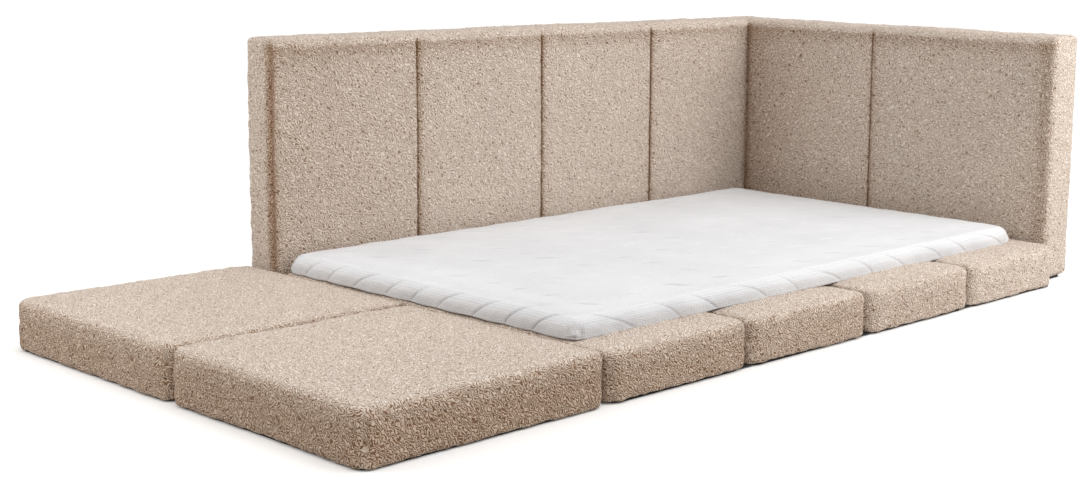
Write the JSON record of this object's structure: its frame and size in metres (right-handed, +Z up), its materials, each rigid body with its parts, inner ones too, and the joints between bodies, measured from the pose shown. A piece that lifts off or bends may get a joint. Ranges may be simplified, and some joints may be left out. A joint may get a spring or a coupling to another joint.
{
  "type": "floor bed",
  "caption": "Low padded floor bed: hinged base pads with a thin mattress, an L-shaped pair of padded walls behind and at one end, and two fold-up side pads.",
  "frame": {"origin": "middle of the whole bed's outline on the floor", "axes": "+X along the long wall, from the side pads to the short wall; +Y from the open front to the long wall; +Z up"},
  "size_m": [2.964, 1.49, 0.8],
  "materials": {
    "boucle": "beige curly boucle cloth",
    "foam": "soft open-cell foam",
    "board_wood": "plain plywood",
    "grip_sheet": "black grip cloth",
    "hinge_tape": "black woven tape",
    "hook_tape": "stiff hook tape",
    "loop_tape": "soft loop tape",
    "mattress_knit": "white quilted knit with a fine dotted mesh",
    "zip_tape": "woven zip tape",
    "slider_steel": "satin nickel"
  },
  "bodies": {
    "base_and_walls": {"base_cover_1": "boucle", "base_cover_2": "boucle", "base_cover_3": "boucle", "base_cover_4": "boucle", "base_foam_1": "foam", "base_foam_2": "foam", "base_foam_3": "foam", "base_foam_4": "foam", "base_hinge_1": "hinge_tape", "base_hinge_2": "hinge_tape", "base_hinge_3": "hinge_tape", "base_loop_patches": "loop_tape", "base_underside_1": "grip_sheet", "base_underside_2": "grip_sheet", "base_underside_3": "grip_sheet", "base_underside_4": "grip_sheet", "corner_hook_strip": "hook_tape", "corner_loop_strip": "loop_tape", "long_wall_board_1": "board_wood", "long_wall_board_2": "board_wood", "long_wall_board_3": "board_wood", "long_wall_board_4": "board_wood", "long_wall_cover": "boucle", "long_wall_foam_1": "foam", "long_wall_foam_2": "foam", "long_wall_foam_3": "foam", "long_wall_foam_4": "foam", "long_wall_underside": "grip_sheet", "long_wall_zip": "zip_tape", "short_wall_board_1": "board_wood", "short_wall_board_2": "board_wood", "short_wall_cover": "boucle", "short_wall_foam_1": "foam", "short_wall_foam_2": "foam", "short_wall_underside": "grip_sheet", "short_wall_zip": "zip_tape", "side_pad_far_hinge_tape": "hinge_tape", "side_pad_near_hinge_tape": "hinge_tape", "wall_hook_patches": "hook_tape"},
    "long_wall_zip_slider": {"long_wall_zip_slider": "slider_steel"},
    "mattress": {"mattress_core": "foam", "mattress_cover": "mattress_knit", "mattress_zip": "zip_tape"},
    "mattress_zip_slider": {"mattress_zip_slider": "slider_steel"},
    "short_wall_zip_slider": {"short_wall_zip_slider": "slider_steel"},
    "side_pad_far": {"side_pad_far_cover": "boucle", "side_pad_far_foam": "foam", "side_pad_far_underside": "grip_sheet"},
    "side_pad_near": {"side_pad_near_cover": "boucle", "side_pad_near_foam": "foam", "side_pad_near_underside": "grip_sheet"}
  },
  "joints": [
    {"name": "side_pad_far_fold", "type": "hinge", "parent": "base_and_walls", "child": "side_pad_far", "pos_m": [-0.754, 0.37265, 0.13], "axis": [0, 1, 0], "range_deg": [0, 86]},
    {"name": "side_pad_near_fold", "type": "hinge", "parent": "base_and_walls", "child": "side_pad_near", "pos_m": [-0.754, -0.37265, 0.13], "axis": [0, 1, 0], "range_deg": [0, 90]},
    {"name": "mattress_lift", "type": "slide", "parent": "base_and_walls", "child": "mattress", "axis": [0, 0, 1], "range_m": [0, 0.15]},
    {"name": "long_wall_zip_slide", "type": "slide", "parent": "base_and_walls", "child": "long_wall_zip_slider", "axis": [1, 0, 0], "range_m": [0, 1.92]},
    {"name": "short_wall_zip_slide", "type": "slide", "parent": "base_and_walls", "child": "short_wall_zip_slider", "axis": [0, 1, 0], "range_m": [0, 1.115]},
    {"name": "mattress_zip_slide", "type": "slide", "parent": "mattress", "child": "mattress_zip_slider", "axis": [0, -1, 0], "range_m": [0, 1.036]}
  ]
}
